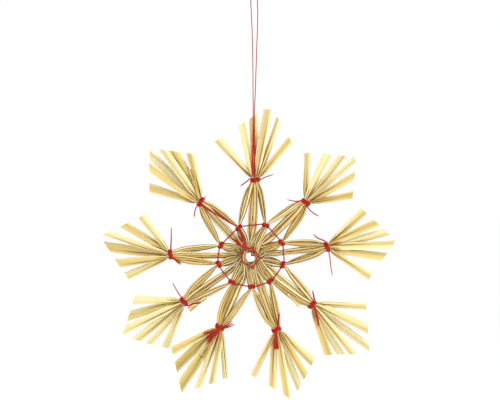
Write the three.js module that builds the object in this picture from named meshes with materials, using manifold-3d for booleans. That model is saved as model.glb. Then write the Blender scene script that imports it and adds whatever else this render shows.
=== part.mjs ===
// A nine-armed star of flattened wheat straws, bound with red thread, hanging from a loop of the same thread.
// Millimetres, +Z up. The star hangs in the XZ plane with its front towards -Y.
// The origin is the top of the hanging loop, where a hook holds it.
import * as THREE from 'three';
import { mergeVertices } from 'three/addons/utils/BufferGeometryUtils.js';
import Module from 'manifold-3d';

const wasm = await Module();
wasm.setup();

// The star's middle, below and slightly beside the loop that it hangs from.
const STAR_X = -1.9;
const STAR_Z = -147;

// Each arm: where its tie sits, how far its two outer pairs spring open on their way there, how its six blades
// fan out (bearing from the arm's axis, and width), the two scissor cuts that trim the fan (bearing of the cut's
// normal, and its distance from the tie), and the cut tails of the tie's thread (compass bearing, length, thickness
// in strands).
const ARMS = [
  {
    name: 'top', angle: 86.5, tie: 42.3, swells: [0.5, 1.0],
    blades: [[-38, 4.3], [-18, 3.4], [-7, 4.8], [5, 5.0], [17, 4.4], [46, 5.0]],
    cuts: [[-57, 27.2], [37, 29.4]],
    tails: [[200, 8.3, 1], [17, 9.7, 1]],
  },
  {
    name: 'upper_left', angle: 132.5, tie: 40.8, swells: [0.8, 0.85],
    blades: [[-31, 5.0], [-15, 5.4], [-7, 4.4], [4, 4.6], [13, 4.6], [32, 5.2]],
    cuts: [[-51, 25.0], [47.5, 27.7]],
    tails: [[248, 8.2, 1], [44, 2.8, 2]],
  },
  {
    name: 'left', angle: 178.5, tie: 44.2, swells: [0.7, 1.1],
    blades: [[-52, 4.9], [-31, 4.7], [-17, 3.6], [-5, 5.6], [11, 5.1], [28, 4.6]],
    cuts: [[-63, 25.3], [36, 26.2]],
    tails: [[88, 14.1, 1], [318, 6.8, 1]],
  },
  {
    name: 'lower_left', angle: 214, tie: 44.4, swells: [0.95, 0.8],
    blades: [[-36, 5.1], [-19, 5.0], [-8, 4.7], [5, 4.6], [17, 4.2], [34, 4.7]],
    cuts: [[-52, 26.0], [42, 26.7]],
    tails: [[122, 11.0, 1], [356, 9.3, 2]],
  },
  {
    name: 'bottom_left', angle: 246.5, tie: 42.5, swells: [0.95, 0.9],
    blades: [[-40, 4.8], [-24, 5.4], [-10, 5.7], [4, 3.8], [16, 4.2], [30, 3.2]],
    cuts: [[-54, 27.9], [43, 27.2]],
    tails: [[12, 6.9, 1], [204, 9.2, 2], [228, 10.2, 2]],
  },
  {
    name: 'bottom_right', angle: 289.5, tie: 42.8, swells: [1.3, 0.8],
    blades: [[-46, 3.6], [-23, 4.9], [-10, 4.4], [2, 4.4], [13, 4.3], [29, 5.0]],
    cuts: [[-51, 28.0], [42.5, 25.8]],
    tails: [[78, 8.3, 1], [270, 10.7, 2]],
  },
  {
    name: 'lower_right', angle: 322, tie: 43.2, swells: [0.9, 0.9],
    blades: [[-34, 4.7], [-22, 4.2], [-12, 4.0], [1, 4.4], [15, 5.4], [36, 4.0]],
    cuts: [[-50, 27.5], [42.5, 29.1]],
    tails: [[89, 7.6, 1], [286, 11.4, 1]],
  },
  {
    name: 'right', angle: 7, tie: 42.6, swells: [0.8, 1.0],
    blades: [[-41, 4.6], [-17, 4.8], [-5, 4.7], [7, 4.4], [19, 5.1], [37, 4.9]],
    cuts: [[-43, 28.3], [40, 28.0]],
    tails: [[138, 9.4, 1], [280, 15.2, 1]],
  },
  {
    name: 'upper_right', angle: 44.5, tie: 42.8, swells: [0.95, 0.75],
    blades: [[-36, 4.3], [-16, 4.3], [-4, 3.6], [7, 4.0], [21, 5.1], [43, 4.2]],
    cuts: [[-51, 24.7], [42, 26.4]],
    tails: [[173, 9.6, 1], [311, 9.9, 1]],
  },
];

// The ring thread's knots. Knot 0 sits between arm 0 and arm 1, and so on round the star.
const KNOTS = [
  [112, 17.1], [159, 17.4], [193.5, 18.1], [234, 17.5], [272, 16.6],
  [308.5, 17.4], [345.5, 18.4], [24, 18.8], [64, 19.1],
];

// Short ends of broken straws beside four of the ties: where each starts and stops in its arm's frame (outwards
// from the star's middle, and sideways), how wide it is there, and how far it stands in front of its arm.
const SPLINTERS = [
  { name: 'upper_left', arm: 1, from: [42.6, -0.8], to: [57.9, -7.4], widths: [0.9, 1.3], forward: 1.3 },
  { name: 'lower_left', arm: 3, from: [33.0, 4.9], to: [44.6, 5.5], widths: [1.6, 2.4], forward: 0.35 },
  { name: 'bottom_left', arm: 4, from: [46.4, -0.5], to: [60.9, -2.1], widths: [1.4, 3.0], forward: 1.15 },
  { name: 'lower_right', arm: 6, from: [29.0, -3.7], to: [38.1, -4.5], widths: [1.6, 2.4], forward: 1.0 },
];
const SPLINTER_THICKNESS = 0.3;

const ARM_STEP = 360 / ARMS.length;
const RAY_STEP = ARM_STEP / 6;
const FIRST_ARM = 89;
const FAR_ARM = 4; // a straw that starts in one arm ends in the fourth arm on from it

// The hub, where the straws cross in nine layers of three and leave a small ragged hole.
const LAYER_ORDER = [0, 4, 8, 5, 1, 2, 6, 7, 3];
const LAYER_PITCH = 0.42;
const HOLE_RADIUS = 2.05;
const HOLE_SHIFT = [-0.35, -0.4];
const HOLE_RAGS = [0.2, -0.25, 0.1, 0.35, -0.2, 0, 0.3, -0.3, 0.1];
const HUB_WIDTH = 1.1;
const HUB_PITCH = 1.22;
const HUB_THICKNESS = 0.36;
const HUB_EDGE = 8.6;
const HUB_EDGE_WIDTH = 0.9;

// Round the hub the straws fan out, sort themselves into a front and a back row, and swell before the knots.
const SORTED_EDGE = 10.8;
const SORTED_SHARE = 0.3;
const SORTED_WIDTH = 1.08;
const SORTED_ROW_SHARE = 0.75;
const FAN_EDGE = 13.4;
const FAN_KNOT_STEP = 4.9;
const FAN_LOOSE_STEP = 6.3;
const FAN_GAP = 0.5;
const FAN_KNOT_WIDTH = 1.3;
const FAN_LOOSE_WIDTH = 1.4;
const FAN_THICKNESS = 0.42;

// Bundles: straws lie in columns side by side, in a front row and a back row.
const ROW_HALF = 0.35;
const KNOT_COLUMN = 1.48;
const KNOT_WIDTH = 1.34;
const KNOT_THICKNESS = 0.5;
const KNOT_HALF_LENGTH = 0.8;
const LOOSE_COLUMN = 1.7;
const LOOSE_WIDTH = 1.5;
const TIE_COLUMN = 1.45;
const TIE_WIDTH = 1.35;
const TIE_THICKNESS = 0.55;
const TIE_HALF_LENGTH = 1.1;
const LOOSE_SWELL = 0.95;
const SPINDLE_BULGE = 0.45;
const SPINDLE_WIDTH = 2.15;
const SPINDLE_THICKNESS = 0.6;
const SPINDLE_SETTLING = 2.8;
const HEIGHT_KEPT_AT_KNOT = 0.75;
const HEIGHT_KEPT_AT_TIE = 0.25;

// Blades: the pressed-flat ends beyond the ties.
const BLADE_THICKNESS = 0.35;
const BLADE_OPENING_LENGTH = 26;
const BLADE_STEPS = [0.16, 0.5];
const BLADE_LEAN = 5;
const BLADE_DRIFT = 1.1;
const TRIM_REACH = 7; // how far back from its tip a blade is surely inside both cuts

// Threads.
const THREAD_RADIUS = 0.34;
const THREAD_SIDES = 6;
const WRAP_CLEARANCE = 0.16;
const WRAP_THICKNESS = 0.58;
const WRAP_CORNER = 0.3;
const WRAP_CORNER_TURNS = [15, 75];
const VALLEY_SHARE = 0.65;
const KNOT_LUMP = [1.3, 0.4, 0.85];
const CENTRE_HEXAGON = [[117, 4.5], [77, 5.1], [349, 5.3], [279, 6.2], [213, 5.5], [153, 5.6]];
const CENTRE_THREAD_DEPTH = 2.5;
const HANGING_RADIUS = 0.27;

// The hanging thread: up the left strand, round the bend at the top and down the right strand.
const HANGING_ROUTE = [
  [-0.74, -1.75, -103.0], [-0.74, -1.75, -98.5], [-0.68, -1.75, -92.5], [-0.5, -1.75, -84.0], [-0.44, -1.75, -75.0],
  [-0.42, -1.7, -68.0], [-0.44, -1.55, -62.0], [-0.5, -1.35, -55.0], [-0.56, -1.1, -45.0], [-0.7, -0.85, -35.0],
  [-0.94, -0.6, -25.0], [-1.35, -0.35, -14.5], [-1.74, -0.15, -6.5], [-1.75, -0.05, -3.2], [-1.42, 0, -1.2],
  [-0.8, 0, -0.4], [0, 0, -0.27], [0.8, 0, -0.4], [1.45, 0, -1.2], [1.82, -0.05, -3.6],
  [2.0, -0.15, -9.0], [2.04, -0.25, -17.0], [1.8, -0.4, -25.0], [1.52, -0.55, -32.0], [1.32, -0.7, -39.0],
  [1.06, -0.9, -46.0], [0.86, -1.1, -53.0], [0.58, -1.35, -59.5], [0.28, -1.6, -65.5], [0.18, -1.72, -71.0],
  [0.16, -1.75, -80.0], [0.2, -1.75, -88.0], [0.36, -1.75, -94.0], [0.62, -1.75, -99.0], [0.66, -1.75, -103.0],
];
const HANGING_STEPS = 60;
const HANGING_SIDES = 8;

const strawMaterial = new THREE.MeshStandardMaterial({ color: 0xe0c87c, roughness: 0.5, metalness: 0 });
const threadMaterial = new THREE.MeshStandardMaterial({ color: 0xb8221a, roughness: 0.85, metalness: 0 });

const radians = THREE.MathUtils.degToRad;
const lerp = THREE.MathUtils.lerp;
const smooth = (share) => THREE.MathUtils.smoothstep(share, 0, 1);
const turn = (index) => (index + ARMS.length) % ARMS.length;
const polar = (degrees, radius) =>
  new THREE.Vector2(radius * Math.cos(radians(degrees)), radius * Math.sin(radians(degrees)));

// A point outwards along an axis that has this angle, and sideways (anticlockwise) from it, in the star's plane.
const besideAxis = (degrees, outward, sideways) =>
  new THREE.Vector2(outward, sideways).rotateAround(new THREE.Vector2(), radians(degrees));
const armPoint = (arm, outward, sideways) => besideAxis(ARMS[arm].angle, outward, sideways);

// --- Heights (front is negative) ---------------------------------------------------------------

const layerHeight = (band) => (LAYER_ORDER[band] - (ARMS.length - 1) / 2) * LAYER_PITCH;
const farBand = (arm) => turn(arm - FAR_ARM);
const armHeight = (arm) => (layerHeight(arm) + layerHeight(farBand(arm))) / 2;
const knotHeight = (knot) =>
  (HEIGHT_KEPT_AT_KNOT * (layerHeight(farBand(knot)) + layerHeight(turn(knot + 1)))) / 2;
const ringHeight = (arm) => (knotHeight(turn(arm - 1)) + knotHeight(arm)) / 2;
const tieHeight = (arm) => HEIGHT_KEPT_AT_TIE * armHeight(arm);

// --- One half of a straw, from the edge of the hub to its cut end -------------------------------

// Slots 0 to 5 run anticlockwise across an arm. Slots 0, 1 and 4, 5 go through the knots beside it.
const rowOf = (slot) => (slot % 2 === 0 ? -ROW_HALF : ROW_HALF);
const sideOf = (slot) => (slot < 2 ? -1 : slot > 3 ? 1 : 0);
const rayAngle = (arm, slot) => FIRST_ARM + arm * ARM_STEP + (slot - 2.5) * RAY_STEP;

function station(place, height, width, thickness) {
  return { place, height, width, thickness };
}

// The middle of the knot that a side straw goes through, in its arm's frame, with the straw's column.
function knotPlace(arm, slot, along) {
  const side = sideOf(slot);
  const knot = side < 0 ? turn(arm - 1) : arm;
  const [angle, radius] = KNOTS[knot];
  const column = (-side * KNOT_COLUMN) / 2;
  return { place: besideAxis(angle, radius + along, column), height: knotHeight(knot) };
}

function ringStations(arm, slot) {
  const row = rowOf(slot);
  if (sideOf(slot) === 0) {
    const sideways = (slot - 2.5) * LOOSE_COLUMN;
    const radius = (KNOTS[arm][1] + KNOTS[turn(arm - 1)][1]) / 2;
    const place = armPoint(arm, radius, sideways);
    return [station(place, ringHeight(arm) + row, LOOSE_WIDTH, KNOT_THICKNESS)];
  }
  return [-KNOT_HALF_LENGTH, KNOT_HALF_LENGTH].map((along) => {
    const knot = knotPlace(arm, slot, along);
    return station(knot.place, knot.height + row, KNOT_WIDTH, KNOT_THICKNESS);
  });
}

// The compass angle at which a straw leaves the fan, between the knots on either side of its arm.
function fanAngle(arm, slot) {
  const start = KNOTS[turn(arm - 1)][0];
  const past = (angle) => start + THREE.MathUtils.euclideanModulo(angle - start, 360);
  const end = past(KNOTS[arm][0]);
  if (sideOf(slot) < 0) return start + (slot + 0.5) * FAN_KNOT_STEP;
  if (sideOf(slot) > 0) return end - (5.5 - slot) * FAN_KNOT_STEP;
  const room = 2 * FAN_KNOT_STEP + FAN_LOOSE_STEP + FAN_GAP;
  const middle = THREE.MathUtils.clamp(past(ARMS[arm].angle), start + room, end - room);
  return middle + (slot - 2.5) * FAN_LOOSE_STEP;
}

function fanStations(arm, slot, ring) {
  const width = sideOf(slot) === 0 ? FAN_LOOSE_WIDTH : FAN_KNOT_WIDTH;
  const angle = fanAngle(arm, slot);
  const onRay = rayAngle(arm, slot);
  const turned = THREE.MathUtils.euclideanModulo(angle - onRay + 180, 360) - 180;
  const sorted = polar(onRay + turned * SORTED_SHARE, SORTED_EDGE);
  const sortedHeight = ring.height - rowOf(slot) * (1 - SORTED_ROW_SHARE);
  return [
    station(sorted, sortedHeight, SORTED_WIDTH, HUB_THICKNESS),
    station(polar(angle, FAN_EDGE), ring.height, width, FAN_THICKNESS),
  ];
}

// Between the ring and the tie the straws spring open and lie side by side.
function spindleStations(arm, slot, ring) {
  const side = sideOf(slot);
  const apart = side === 0 ? Math.sign(slot - 2.5) : side * (slot === 0 || slot === 5 ? 1 : -1);
  const tie = armPoint(arm, ARMS[arm].tie, tieColumn(slot));
  return [0.25, 0.5, 0.75].map((share) => {
    const swell = Math.sin(Math.PI * share);
    const spread = [ARMS[arm].swells[0], LOOSE_SWELL, ARMS[arm].swells[1]][side + 1];
    const outwards = (side * SPINDLE_BULGE + apart) * spread * swell;
    const settled = side === 0 ? lerp(outwards, 0, 1 - share) : outwards;
    const place = ring.place.clone().lerp(tie, share).add(armPoint(arm, 0, settled));
    const height = lerp(ring.height, tieHeight(arm) + rowOf(slot), smooth(share * SPINDLE_SETTLING));
    const width = lerp(lerp(ring.width, TIE_WIDTH, share), SPINDLE_WIDTH, swell);
    return station(place, height, width, lerp(KNOT_THICKNESS, SPINDLE_THICKNESS, swell));
  });
}

const tieColumn = (slot) => (Math.floor(slot / 2) - 1) * TIE_COLUMN;

function tieStations(arm, slot) {
  return [-TIE_HALF_LENGTH, TIE_HALF_LENGTH].map((along) => {
    const place = armPoint(arm, ARMS[arm].tie + along, tieColumn(slot));
    return station(place, tieHeight(arm) + rowOf(slot), TIE_WIDTH, TIE_THICKNESS);
  });
}

// How far from a point, along a direction, the fan's nearer scissor cut lies.
function distanceToCut(arm, point, direction) {
  const tie = armPoint(arm, ARMS[arm].tie, 0);
  const distances = ARMS[arm].cuts.map(([bearing, distance]) => {
    const normal = polar(ARMS[arm].angle + bearing, 1);
    return (distance - point.clone().sub(tie).dot(normal)) / direction.dot(normal);
  });
  return Math.min(...distances.filter((distance) => distance > 0));
}

function bladeStations(arm, slot) {
  const [bearing, endWidth] = ARMS[arm].blades[slot];
  const tie = armPoint(arm, ARMS[arm].tie, 0);
  const direction = polar(ARMS[arm].angle + bearing, 1);
  const length = distanceToCut(arm, tie, direction);
  const start = armPoint(arm, ARMS[arm].tie + TIE_HALF_LENGTH, tieColumn(slot));
  const lean = start.clone().add(polar(ARMS[arm].angle + bearing, BLADE_LEAN));
  const end = tie.clone().addScaledVector(direction, length);
  const curve = new THREE.QuadraticBezierCurve(start, lean, end);
  return [...BLADE_STEPS, 1].map((share) => {
    const place = curve.getPoint(share);
    const width = lerp(TIE_WIDTH, endWidth, smooth((share * length) / BLADE_OPENING_LENGTH));
    const drift = Math.sign(rowOf(slot)) * BLADE_DRIFT * share * share;
    const height = tieHeight(arm) + rowOf(slot) + drift;
    return station(place, height, width, lerp(TIE_THICKNESS, BLADE_THICKNESS, smooth(share * 2)));
  });
}

function halfStraw(arm, slot) {
  const ring = ringStations(arm, slot);
  return [
    ...fanStations(arm, slot, ring[0]),
    ...ring,
    ...spindleStations(arm, slot, ring[ring.length - 1]),
    ...tieStations(arm, slot),
    ...bladeStations(arm, slot),
  ];
}

// --- A whole straw ------------------------------------------------------------------------------

// Where a straw of a band passes the hole: two straws on one side of it and one on the other, by turns.
function hubOffset(band, member, sideways) {
  const nearest = HOLE_RADIUS + HOLE_RAGS[band] + HUB_WIDTH / 2;
  const offsets = [-nearest, nearest, nearest + HUB_PITCH];
  const middle = sideways.dot(new THREE.Vector2(...HOLE_SHIFT));
  return middle + (band % 2 === 0 ? offsets[member] : -offsets[2 - member]);
}

// The straight run over the hub, in the band's own layer.
function hubStations(band, member) {
  const direction = polar(rayAngle(band, 1), 1);
  const sideways = new THREE.Vector2(-direction.y, direction.x);
  const fan = radians((member - 1) * RAY_STEP);
  return [HUB_EDGE, 0, -HUB_EDGE].map((along) => {
    const share = Math.abs(along) / HUB_EDGE;
    const offset = lerp(hubOffset(band, member, sideways), HUB_EDGE * Math.sin(fan), share);
    const place = direction.clone().multiplyScalar(along * Math.cos(fan)).addScaledVector(sideways, offset);
    return station(place, layerHeight(band), lerp(HUB_WIDTH, HUB_EDGE_WIDTH, share), HUB_THICKNESS);
  });
}

function strawStations(band, member) {
  const near = halfStraw(band, member).reverse();
  const far = halfStraw(turn(band + FAR_ARM), 5 - member);
  return [...near, ...hubStations(band, member), ...far];
}

// The four corners of the straw's flat section at each station. The end sections follow the scissor cuts.
function strawCorners(stations, nearArm, farArm) {
  const last = stations.length - 1;
  return stations.map((here, index) => {
    const before = stations[Math.max(index - 1, 0)].place;
    const after = stations[Math.min(index + 1, last)].place;
    const forward = after.clone().sub(before).normalize();
    const left = new THREE.Vector2(-forward.y, forward.x).multiplyScalar(here.width / 2);
    const edges = [here.place.clone().add(left), here.place.clone().sub(left)];
    if (index === 0) trimToCut(edges, nearArm, forward.clone().negate());
    if (index === last) trimToCut(edges, farArm, forward);
    const half = here.thickness / 2;
    const corner = (edge, height) => [STAR_X + edge.x, height, STAR_Z + edge.y];
    return [
      corner(edges[0], here.height - half),
      corner(edges[1], here.height - half),
      corner(edges[1], here.height + half),
      corner(edges[0], here.height + half),
    ];
  });
}

function trimToCut(edges, arm, outward) {
  const back = outward.clone().multiplyScalar(-TRIM_REACH);
  for (const edge of edges) {
    const inside = edge.clone().add(back);
    edge.copy(inside.addScaledVector(outward, distanceToCut(arm, inside, outward)));
  }
}

// A closed skin over a run of sections that all have the same number of corners.
function loft(sections, closed = false) {
  const sides = sections[0].length;
  const faces = [];
  const runs = closed ? sections.length : sections.length - 1;
  for (let run = 0; run < runs; run += 1) {
    const next = (run + 1) % sections.length;
    for (let side = 0; side < sides; side += 1) {
      const beside = (side + 1) % sides;
      const [a, b] = [run * sides + side, run * sides + beside];
      const [c, d] = [next * sides + beside, next * sides + side];
      faces.push(a, b, c, a, c, d);
    }
  }
  if (!closed) {
    const end = (sections.length - 1) * sides;
    for (let side = 1; side < sides - 1; side += 1) {
      faces.push(0, side + 1, side);
      faces.push(end, end + side, end + side + 1);
    }
  }
  const geometry = new THREE.BufferGeometry();
  geometry.setAttribute('position', new THREE.Float32BufferAttribute(sections.flat(2), 3));
  geometry.setIndex(faces);
  return facingOut(geometry);
}

function facingOut(geometry) {
  const position = geometry.getAttribute('position');
  const corners = geometry.getIndex().array;
  const [a, b, c] = [new THREE.Vector3(), new THREE.Vector3(), new THREE.Vector3()];
  let volume = 0;
  for (let face = 0; face < corners.length; face += 3) {
    a.fromBufferAttribute(position, corners[face]);
    b.fromBufferAttribute(position, corners[face + 1]);
    c.fromBufferAttribute(position, corners[face + 2]);
    volume += a.dot(b.cross(c));
  }
  if (volume < 0) corners.reverse();
  return geometry;
}

function strawGeometry(band, member) {
  const stations = strawStations(band, member);
  return loft(strawCorners(stations, band, turn(band + FAR_ARM)));
}

function splinterGeometry({ arm, from, to, widths, forward }) {
  const ends = [armPoint(arm, ...from), armPoint(arm, ...to)];
  const along = ends[1].clone().sub(ends[0]).normalize();
  const height = tieHeight(arm) - forward;
  const sections = ends.map((end, index) => {
    const half = new THREE.Vector2(-along.y, along.x).multiplyScalar(widths[index] / 2);
    const edges = [end.clone().add(half), end.clone().sub(half)];
    const corner = (edge, depth) => [STAR_X + edge.x, height + depth, STAR_Z + edge.y];
    const rim = SPLINTER_THICKNESS / 2;
    return [corner(edges[0], -rim), corner(edges[1], -rim), corner(edges[1], rim), corner(edges[0], rim)];
  });
  return loft(sections);
}

// --- Threads ------------------------------------------------------------------------------------

const starPoint = (place, depth) => new THREE.Vector3(STAR_X + place.x, depth, STAR_Z + place.y);

function toManifold(geometry) {
  const bare = geometry.clone();
  bare.deleteAttribute('normal');
  bare.deleteAttribute('uv');
  const merged = mergeVertices(bare, 1e-5);
  return new wasm.Manifold(new wasm.Mesh({
    numProp: 3,
    vertProperties: new Float32Array(merged.getAttribute('position').array),
    triVerts: new Uint32Array(merged.getIndex().array),
  }));
}

function joined(geometries) {
  const whole = geometries.map(toManifold).reduce((sum, part) => sum.add(part));
  const mesh = whole.getMesh();
  const geometry = new THREE.BufferGeometry();
  geometry.setAttribute('position', new THREE.Float32BufferAttribute(mesh.vertProperties, 3));
  geometry.setIndex([...mesh.triVerts]);
  return geometry;
}

function threadTube(points, steps, { thick = THREAD_RADIUS, wide = thick, sides = THREAD_SIDES } = {}) {
  const corners = Array.from({ length: sides }, (_, side) => {
    const angle = (2 * Math.PI * side) / sides;
    return new THREE.Vector2(thick * Math.cos(angle), wide * Math.sin(angle));
  });
  const extrudePath = new THREE.CatmullRomCurve3(points, false, 'centripetal');
  return new THREE.ExtrudeGeometry(new THREE.Shape(corners), { steps, extrudePath });
}

// Turns of thread laid side by side round a flat bundle: a closed band with a ridge for each turn.
function wrap(angle, radius, height, bundleWidth, turns) {
  const half = [bundleWidth / 2 + WRAP_CLEARANCE, ROW_HALF + TIE_THICKNESS / 2 + WRAP_CLEARANCE];
  const pitch = 2 * THREAD_RADIUS;
  const profile = [[(-turns * pitch) / 2, 0], [(turns * pitch) / 2, 0]];
  for (let turned = turns; turned > 0; turned -= 1) {
    const middle = (turned - (turns + 1) / 2) * pitch;
    profile.push([middle, WRAP_THICKNESS]);
    if (turned > 1) profile.push([middle - pitch / 2, WRAP_THICKNESS * VALLEY_SHARE]);
  }
  const sections = [];
  for (let step = 0; step < 8; step += 1) {
    const [across, deep] = [[1, 1], [-1, 1], [-1, -1], [1, -1]][Math.floor(step / 2)];
    const rounding = radians(WRAP_CORNER_TURNS[Math.floor((step + 1) / 2) % 2]);
    sections.push(profile.map(([along, rise]) => {
      const bend = WRAP_CORNER + rise;
      const sideways = across * (half[0] - WRAP_CORNER * Math.SQRT1_2 + bend * Math.cos(rounding));
      const depth = deep * (half[1] - WRAP_CORNER * Math.SQRT1_2 + bend * Math.sin(rounding));
      return starPoint(besideAxis(angle, radius + along, sideways), height + depth).toArray();
    }));
  }
  return loft(sections, true);
}

const wrapFront = (height) => height - ROW_HALF - TIE_THICKNESS / 2 - WRAP_CLEARANCE - WRAP_THICKNESS / 2;

// The knot itself, a small lump on the front of its turns.
function knotLump(angle, radius, height) {
  const lump = new THREE.SphereGeometry(1, 6, 4);
  lump.scale(KNOT_LUMP[2], KNOT_LUMP[1], KNOT_LUMP[0]);
  lump.rotateY(-radians(angle));
  const middle = starPoint(polar(angle, radius), wrapFront(height) - WRAP_THICKNESS / 2);
  return lump.translate(middle.x, middle.y, middle.z);
}

function tieGeometry(arm) {
  const { angle, tie, tails } = ARMS[arm];
  const height = tieHeight(arm);
  const start = starPoint(polar(angle, tie), wrapFront(height) - WRAP_THICKNESS / 2);
  const ends = tails.map(([bearing, length, strands]) => {
    const reach = (share, depth) => {
      const step = polar(bearing, length * share);
      return start.clone().add(new THREE.Vector3(step.x, depth, step.y));
    };
    const points = [start, reach(0.4, -0.35), reach(0.75, -0.45), reach(1, -0.3)];
    return threadTube(points, 3, { wide: strands * THREAD_RADIUS });
  });
  const bundleWidth = 2 * TIE_COLUMN + TIE_WIDTH;
  return joined([wrap(angle, tie, height, bundleWidth, 3), knotLump(angle, tie, height), ...ends]);
}

const knotFront = (knot, lift = 0) =>
  starPoint(polar(...KNOTS[knot]), wrapFront(knotHeight(knot)) - WRAP_THICKNESS / 2 - lift);

function ringGeometry() {
  const bundleWidth = KNOT_COLUMN + KNOT_WIDTH;
  const pieces = KNOTS.flatMap(([angle, radius], knot) => [
    wrap(angle, radius, knotHeight(knot), bundleWidth, 2),
    knotLump(angle, radius, knotHeight(knot)),
    threadTube([knotFront(knot), knotFront(turn(knot + 1))], 1),
  ]);
  // The thread's two ends run on together, doubled, from the first knot: inwards to the hub and out to a tie.
  const hubEnd = starPoint(polar(114, 7.0), -CENTRE_THREAD_DEPTH - 0.1);
  const overHub = starPoint(polar(113, 10.5), -CENTRE_THREAD_DEPTH + 0.2);
  const tie = ARMS[1];
  const tieEnd = starPoint(polar(tie.angle - 2.5, tie.tie - 2.9), wrapFront(tieHeight(1)) - 0.3);
  pieces.push(threadTube([hubEnd, overHub, knotFront(0)], 4, { wide: 2 * THREAD_RADIUS }));
  pieces.push(threadTube([knotFront(0), tieEnd], 2, { wide: 2 * THREAD_RADIUS }));
  return joined(pieces);
}

// A hexagon of thread on the front and one on the back, joined by a strand through the hole.
function centreGeometry() {
  const corners = CENTRE_HEXAGON.map(([angle, radius]) => polar(angle, radius));
  const turnedBy = (place, angle) => place.clone().rotateAround(new THREE.Vector2(), angle);
  const side = (depth, angle) => corners.map((corner, index) => {
    const next = corners[(index + 1) % corners.length];
    const ends = [corner, next].map((place) => starPoint(turnedBy(place, angle), depth));
    const along = ends[1].clone().sub(ends[0]).setLength(THREAD_RADIUS / 2);
    return threadTube([ends[0].clone().sub(along), ends[1].clone().add(along)], 1);
  });
  const backTurn = radians(30);
  const front = starPoint(corners[1], -CENTRE_THREAD_DEPTH);
  const back = starPoint(turnedBy(corners[2], backTurn), CENTRE_THREAD_DEPTH);
  const through = [
    front,
    starPoint(new THREE.Vector2(0.9, 2.8), -CENTRE_THREAD_DEPTH),
    starPoint(new THREE.Vector2(0.6, 1.2), -CENTRE_THREAD_DEPTH * 0.7),
    starPoint(new THREE.Vector2(0.6, 0.6), 0),
    starPoint(new THREE.Vector2(1.1, 0.6), CENTRE_THREAD_DEPTH * 0.7),
    starPoint(new THREE.Vector2(2.8, 0.6), CENTRE_THREAD_DEPTH),
    back,
  ];
  const tailStart = starPoint(corners[0], -CENTRE_THREAD_DEPTH);
  const tailRise = starPoint(polar(131, 8.5), -CENTRE_THREAD_DEPTH - 0.3);
  const tail = [tailStart, tailRise, starPoint(polar(132, 12.3), -2.6)];
  return joined([
    ...side(-CENTRE_THREAD_DEPTH, 0),
    ...side(CENTRE_THREAD_DEPTH, backTurn),
    threadTube(through, 16),
    threadTube(tail, 3, { wide: 2 * THREAD_RADIUS }),
  ]);
}

function hangingGeometry() {
  const points = HANGING_ROUTE.map((point) => new THREE.Vector3(...point));
  return threadTube(points, HANGING_STEPS, { thick: HANGING_RADIUS, sides: HANGING_SIDES });
}

// --- The assembly -------------------------------------------------------------------------------

function piece(name, geometry, material) {
  const mesh = new THREE.Mesh(geometry, material);
  mesh.name = name;
  return mesh;
}

const ornament = new THREE.Group();
ARMS.forEach((arm, band) => {
  for (let member = 0; member < 3; member += 1) {
    const number = String(band * 3 + member + 1).padStart(2, '0');
    ornament.add(piece(`straw_${number}`, strawGeometry(band, member), strawMaterial));
  }
});
for (const splinter of SPLINTERS) {
  ornament.add(piece(`splinter_${splinter.name}`, splinterGeometry(splinter), strawMaterial));
}
ARMS.forEach((arm, index) => ornament.add(piece(`tie_${arm.name}`, tieGeometry(index), threadMaterial)));
ornament.add(piece('ring_thread', ringGeometry(), threadMaterial));
ornament.add(piece('centre_thread', centreGeometry(), threadMaterial));
ornament.add(piece('hanging_thread', hangingGeometry(), threadMaterial));

export default ornament;
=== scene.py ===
import math
import random

import bmesh
import bpy
import numpy as np
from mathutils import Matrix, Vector


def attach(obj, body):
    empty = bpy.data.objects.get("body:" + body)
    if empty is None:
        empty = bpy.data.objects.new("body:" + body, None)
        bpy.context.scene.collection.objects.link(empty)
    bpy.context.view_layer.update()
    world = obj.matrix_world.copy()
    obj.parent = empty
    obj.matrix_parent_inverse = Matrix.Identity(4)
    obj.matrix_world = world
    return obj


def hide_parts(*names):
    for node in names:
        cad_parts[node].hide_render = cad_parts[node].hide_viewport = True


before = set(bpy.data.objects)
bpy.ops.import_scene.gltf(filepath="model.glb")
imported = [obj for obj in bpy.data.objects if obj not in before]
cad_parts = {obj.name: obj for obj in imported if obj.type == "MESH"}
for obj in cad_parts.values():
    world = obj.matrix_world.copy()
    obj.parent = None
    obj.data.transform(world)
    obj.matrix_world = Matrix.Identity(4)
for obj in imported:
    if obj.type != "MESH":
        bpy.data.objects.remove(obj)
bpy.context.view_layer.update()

bpy.ops.object.select_all(action="DESELECT")

# A nine-armed star of pressed wheat straws, bound with red cotton and hanging from a loop of it.
# Metres, +Z up. The star hangs in the XZ plane with its front towards -Y.

MM = 0.001
STAR_CENTRE = Vector((-1.9, 0, -147)) * MM
ARMS = [
    "top", "upper_left", "left", "lower_left", "bottom_left",
    "bottom_right", "lower_right", "right", "upper_right",
]
FIRST_ARM = 89
ARM_STEP = 40
FAR_ARM = 4
STRAWS = 27
FORWARD = np.array([0.0, -1.0, 0.0])

# --- The camera, level with the star and square to it ---

VIEW_DISTANCE = 1.2
VIEW_WIDTH = 0.276
VIEW_CENTRE = (-0.00218, -0.1158)
SENSOR_WIDTH = 36

bpy.ops.object.camera_add(
    location=(VIEW_CENTRE[0], -VIEW_DISTANCE, VIEW_CENTRE[1]), rotation=(math.pi / 2, 0, 0))
camera = bpy.context.object
camera.name = "studio_camera"
camera.data.sensor_width = SENSOR_WIDTH
camera.data.lens = SENSOR_WIDTH * VIEW_DISTANCE / VIEW_WIDTH
bpy.context.scene.camera = camera

# --- Small helpers ---

CURVE_STEPS = 24


def ease(share):
    share = np.clip(share, 0, 1)
    return share * share * (3 - 2 * share)


def blend(start, end, share):
    return start + (end - start) * share


def swell(place, start, full, last, gone):
    """One between full and last, easing to nothing at start and at gone."""
    return ease((place - start) / (full - start)) * ease((gone - place) / (gone - last))


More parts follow.
